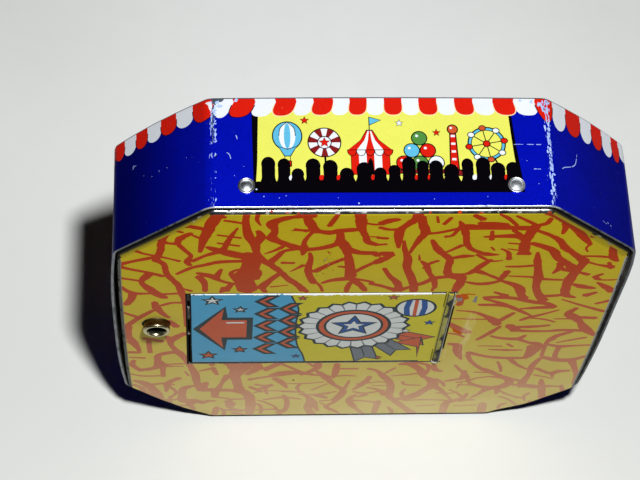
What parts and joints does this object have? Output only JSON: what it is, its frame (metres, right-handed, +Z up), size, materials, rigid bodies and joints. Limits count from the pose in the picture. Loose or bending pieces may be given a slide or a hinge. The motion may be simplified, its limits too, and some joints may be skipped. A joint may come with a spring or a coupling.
{
  "type": "coin register bank",
  "caption": "Eight-sided lithographed tin coin register bank that counts coins on a number dial and opens by a sprung rear hatch when its brass button is pressed.",
  "frame": {"origin": "centre of the foot wall's outer face, halfway through the tray's depth", "axes": "+X across the case to the right as seen from the back plate, +Y from the back plate to the printed face, +Z up"},
  "size_m": [0.064, 0.0167, 0.0643],
  "materials": {
    "blue_litho": "gloss litho print on tin, royal blue with a red and white scalloped border",
    "crackle_litho": "gloss litho print on tin, ochre yellow with a red crackle",
    "hatch_litho": "gloss litho print on tin, light blue and yellow",
    "dial_print": "satin off-white print with black numbers",
    "bare_tin": "bright tinned steel",
    "tinned_steel": "dull tinned steel sheet",
    "spring_steel": "oiled spring steel",
    "brass": "turned brass, slightly tarnished",
    "lens": "clear celluloid"
  },
  "bodies": {
    "case": {"front_shell": "blue_litho", "back_plate": "crackle_litho", "case_rivets": "bare_tin", "hinge_pin": "bare_tin", "kick_spring": "spring_steel", "catch_bracket": "tinned_steel", "catch_spring": "spring_steel", "mechanism_plate": "tinned_steel", "plate_posts": "bare_tin", "coin_chute": "tinned_steel", "lever_spring": "spring_steel", "spring_post": "bare_tin", "wheel_arbor": "bare_tin", "arbor_clip": "spring_steel", "click_post": "bare_tin", "click_spring": "spring_steel", "window_lens": "lens"},
    "hatch": {"hatch": "hatch_litho"},
    "button": {"button": "brass"},
    "catch": {"catch_slide": "tinned_steel"},
    "register": {"register_wheel": "tinned_steel", "lock_ring": "tinned_steel", "wheel_hub": "brass", "dial_disc": "dial_print"},
    "lever": {"coin_lever": "tinned_steel", "coin_finger": "bare_tin", "pawl_pin": "brass", "pawl_spring": "spring_steel"},
    "pawl": {"drive_pawl": "tinned_steel"}
  },
  "joints": [
    {"name": "hatch_hinge", "type": "hinge", "parent": "case", "child": "hatch", "pos_m": [0.0105, -0.0076, 0.032], "axis": [0, 0, 1], "range_deg": [0, 120], "deforming": ["kick_spring"]},
    {"name": "button_press", "type": "slide", "parent": "case", "child": "button", "axis": [0, 1, 0], "range_m": [0, 0.001], "stiffness_N_per_m": 400, "springref_m": -0.0015},
    {"name": "catch_travel", "type": "slide", "parent": "case", "child": "catch", "axis": [-1, 0, 0], "range_m": [0, 0.001], "deforming": ["catch_spring"]},
    {"name": "register_spin", "type": "hinge", "parent": "case", "child": "register", "pos_m": [0, 0, 0.032], "axis": [0, -1, 0], "continuous": true},
    {"name": "lever_swing", "type": "hinge", "parent": "case", "child": "lever", "pos_m": [0, 0, 0.032], "axis": [0, -1, 0], "range_deg": [0, 10], "stiffness_Nm_per_rad": 0.004, "springref_deg": -20.05, "deforming": ["lever_spring"]},
    {"name": "pawl_lift", "type": "hinge", "parent": "lever", "child": "pawl", "pos_m": [0.012, 0, 0.05278], "axis": [0, 1, 0], "range_deg": [0, 10], "stiffness_Nm_per_rad": 0.0005, "springref_deg": -17.19, "deforming": ["pawl_spring"]}
  ],
  "couplings": [
    {"joint": "catch_travel", "follows": "button_press", "ratio": 1}
  ]
}
